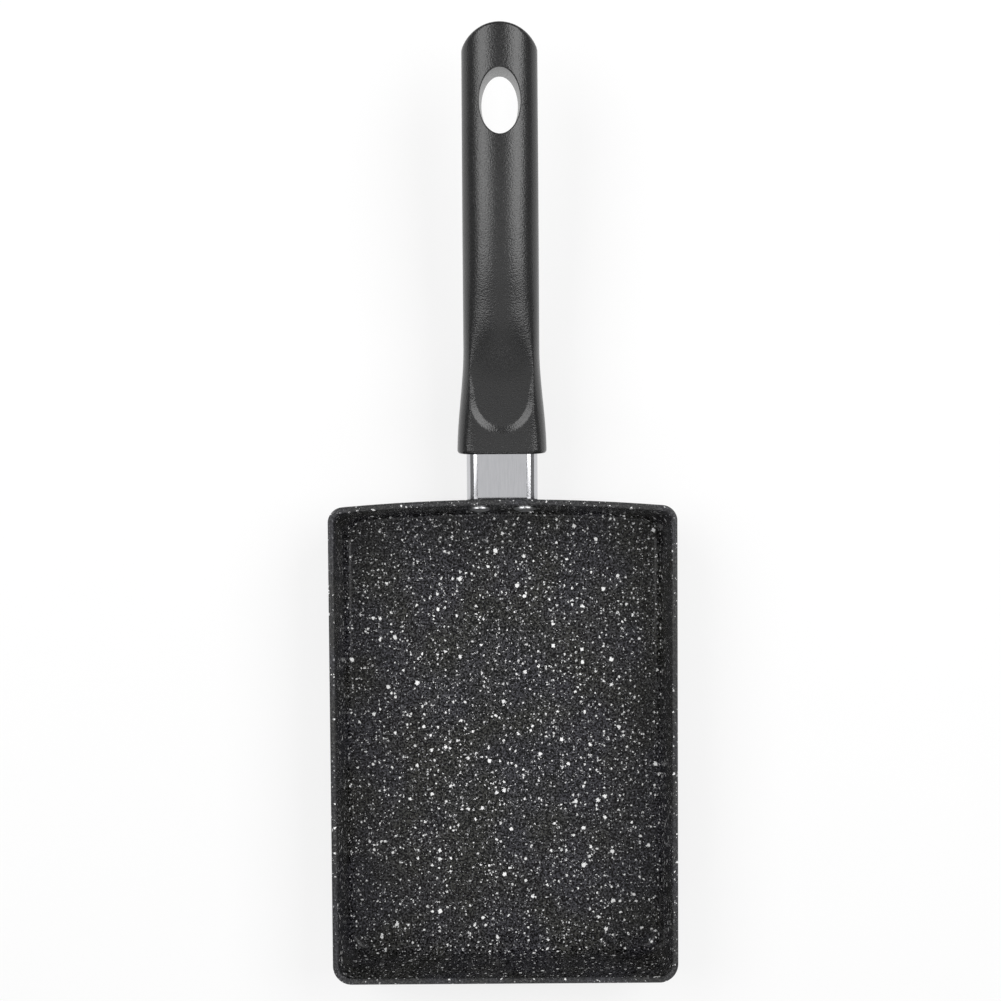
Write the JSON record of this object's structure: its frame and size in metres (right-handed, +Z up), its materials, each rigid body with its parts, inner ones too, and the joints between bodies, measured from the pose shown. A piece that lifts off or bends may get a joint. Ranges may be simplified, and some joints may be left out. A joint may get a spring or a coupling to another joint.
{
  "type": "rectangular omelette pan",
  "caption": "Rectangular rolled-omelette pan: speckled non-stick tray, bright flame guard and a black moulded handle with a thumb scoop and a hanging hole.",
  "frame": {"origin": "middle of the ground pad under the base, which the pan stands on", "axes": "+Z up, +Y from the pan towards the handle, +X to the right when seen from above with the handle away from the viewer"},
  "size_m": [0.13, 0.3532, 0.0575],
  "materials": {
    "stone_coating": "dark speckled non-stick coating on pressed aluminium",
    "rivet_aluminium": "bare, smooth",
    "bright_stainless": "bright polished with fine lengthwise lines",
    "black_phenolic": "fine satin moulding",
    "zinc_steel": "zinc plated"
  },
  "bodies": {
    "root": {"pan_body": "stone_coating", "rivet_left": "rivet_aluminium", "rivet_right": "rivet_aluminium", "flame_guard": "bright_stainless", "handle_grip": "black_phenolic", "handle_bracket": "zinc_steel", "bracket_nut": "zinc_steel", "handle_screw": "zinc_steel", "spring_washer": "zinc_steel", "plain_washer": "zinc_steel"}
  },
  "joints": []
}
